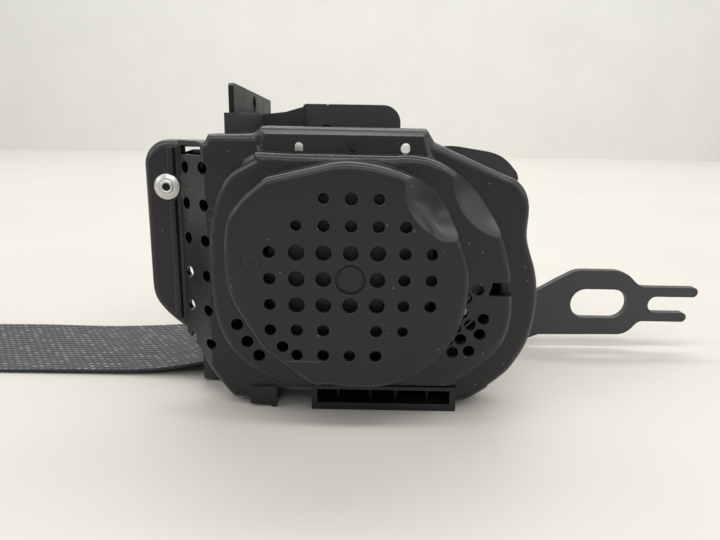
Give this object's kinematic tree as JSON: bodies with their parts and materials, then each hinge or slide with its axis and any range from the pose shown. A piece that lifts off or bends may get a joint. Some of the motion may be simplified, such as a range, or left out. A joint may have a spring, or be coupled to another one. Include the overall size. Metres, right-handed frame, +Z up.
{
  "type": "seat belt",
  "caption": "Seat belt retractor with a vented dome cover, ball pretensioner, slotted anchor bracket and its webbing laid out behind in a folded stack with tongue and anchor plate.",
  "frame": {"origin": "centre of the anchor slot on the bracket's rear face", "axes": "+Y along the spool's axis from the dome cover to the rear cover and out of the bracket's rear face; +X from the retractor towards the bracket's fork; +Z up as it stands on the table"},
  "size_m": [0.4141, 0.1085, 0.0964],
  "materials": {
    "satin_black_plastic": "satin moulded, fine grain",
    "grained_black_plastic": "grained moulded",
    "glossy_black_steel": "glossy black coating",
    "satin_black_steel": "satin dark coating",
    "zinc_steel": "zinc plated",
    "spring_steel": "blued strip",
    "tube_steel": "drawn tube",
    "bar_steel": "turned",
    "polished_steel": "polished",
    "canister_steel": "crimped can",
    "ball_aluminium": "tumbled",
    "wheel_aluminium": "pressed",
    "cast_aluminium": "die cast",
    "cast_zinc": "die cast, bare",
    "ivory_plastic": "natural moulded",
    "grey_plastic": "moulded",
    "seal_rubber": "soft",
    "lead_sheath": "smooth sheath",
    "contact_brass": "bright",
    "belt_fabric": "twill webbing"
  },
  "bodies": {
    "retractor": {"front_cover": "satin_black_plastic", "blind_rivet": "zinc_steel", "frame": "glossy_black_steel", "lug_plate": "glossy_black_steel", "tie_rods": "zinc_steel", "mounting_bracket": "satin_black_steel", "bracket_rivets": "zinc_steel", "spring_cup": "ivory_plastic", "spring_lid": "ivory_plastic", "return_spring": "spring_steel", "ball_tube": "tube_steel", "drive_balls": "ball_aluminium", "tube_seal": "seal_rubber", "gas_canister": "canister_steel", "canister_plug": "grey_plastic", "igniter_lead": "lead_sheath", "track_housing": "cast_zinc", "front_bush": "ivory_plastic", "sensor_housing": "ivory_plastic", "rear_bush": "ivory_plastic", "rear_cover": "grained_black_plastic", "cover_screws": "zinc_steel", "connector_carrier": "grained_black_plastic", "contact_pins": "contact_brass", "webbing_guide": "grained_black_plastic", "webbing_run": "belt_fabric", "tongue_plate": "polished_steel", "tongue_grip": "satin_black_plastic", "anchor_plate": "zinc_steel"},
    "spool_body": {"spool": "cast_aluminium", "torsion_bar": "bar_steel", "webbing_roll": "belt_fabric", "spring_arbor": "ivory_plastic", "lock_base": "cast_zinc"},
    "drive_wheel_body": {"drive_wheel": "wheel_aluminium"},
    "pawl_body": {"lock_pawl": "bar_steel"},
    "control_disc_body": {"control_disc": "ivory_plastic"},
    "inertia_disc_body": {"inertia_disc": "cast_zinc"},
    "sensor_ball_body": {"sensor_ball": "polished_steel"},
    "sensor_lever_body": {"sensor_lever": "grey_plastic"}
  },
  "joints": [
    {"name": "spool_spin", "type": "hinge", "parent": "retractor", "child": "spool_body", "pos_m": [-0.0954, -0.0135, 0.02645], "axis": [0, 1, 0], "continuous": true},
    {"name": "drive_wheel_spin", "type": "hinge", "parent": "retractor", "child": "drive_wheel_body", "pos_m": [-0.0954, -0.0493, 0.02645], "axis": [0, 1, 0], "continuous": true},
    {"name": "control_disc_lag", "type": "hinge", "parent": "spool_body", "child": "control_disc_body", "pos_m": [-0.0954, 0.019, 0.02645], "axis": [0, -1, 0], "range_deg": [0, 20]},
    {"name": "pawl_swing", "type": "hinge", "parent": "spool_body", "child": "pawl_body", "pos_m": [-0.08229, 0.0142, 0.01727], "axis": [0, -1, 0], "range_deg": [0, 9]},
    {"name": "inertia_disc_lag", "type": "hinge", "parent": "control_disc_body", "child": "inertia_disc_body", "pos_m": [-0.0954, 0.0221, 0.02645], "axis": [0, -1, 0], "range_deg": [-4, 4]},
    {"name": "sensor_ball_lift", "type": "slide", "parent": "retractor", "child": "sensor_ball_body", "axis": [-1, 0, 0], "range_m": [0, 0.0011]},
    {"name": "sensor_lever_swing", "type": "hinge", "parent": "retractor", "child": "sensor_lever_body", "pos_m": [-0.0704, 0.0235, 0.01845], "axis": [0, -1, 0], "range_deg": [0, 8]}
  ],
  "couplings": [
    {"joint": "pawl_swing", "follows": "control_disc_lag", "ratio": 0.45},
    {"joint": "sensor_lever_swing", "follows": "sensor_ball_lift", "rad_per_m": 126.92}
  ]
}
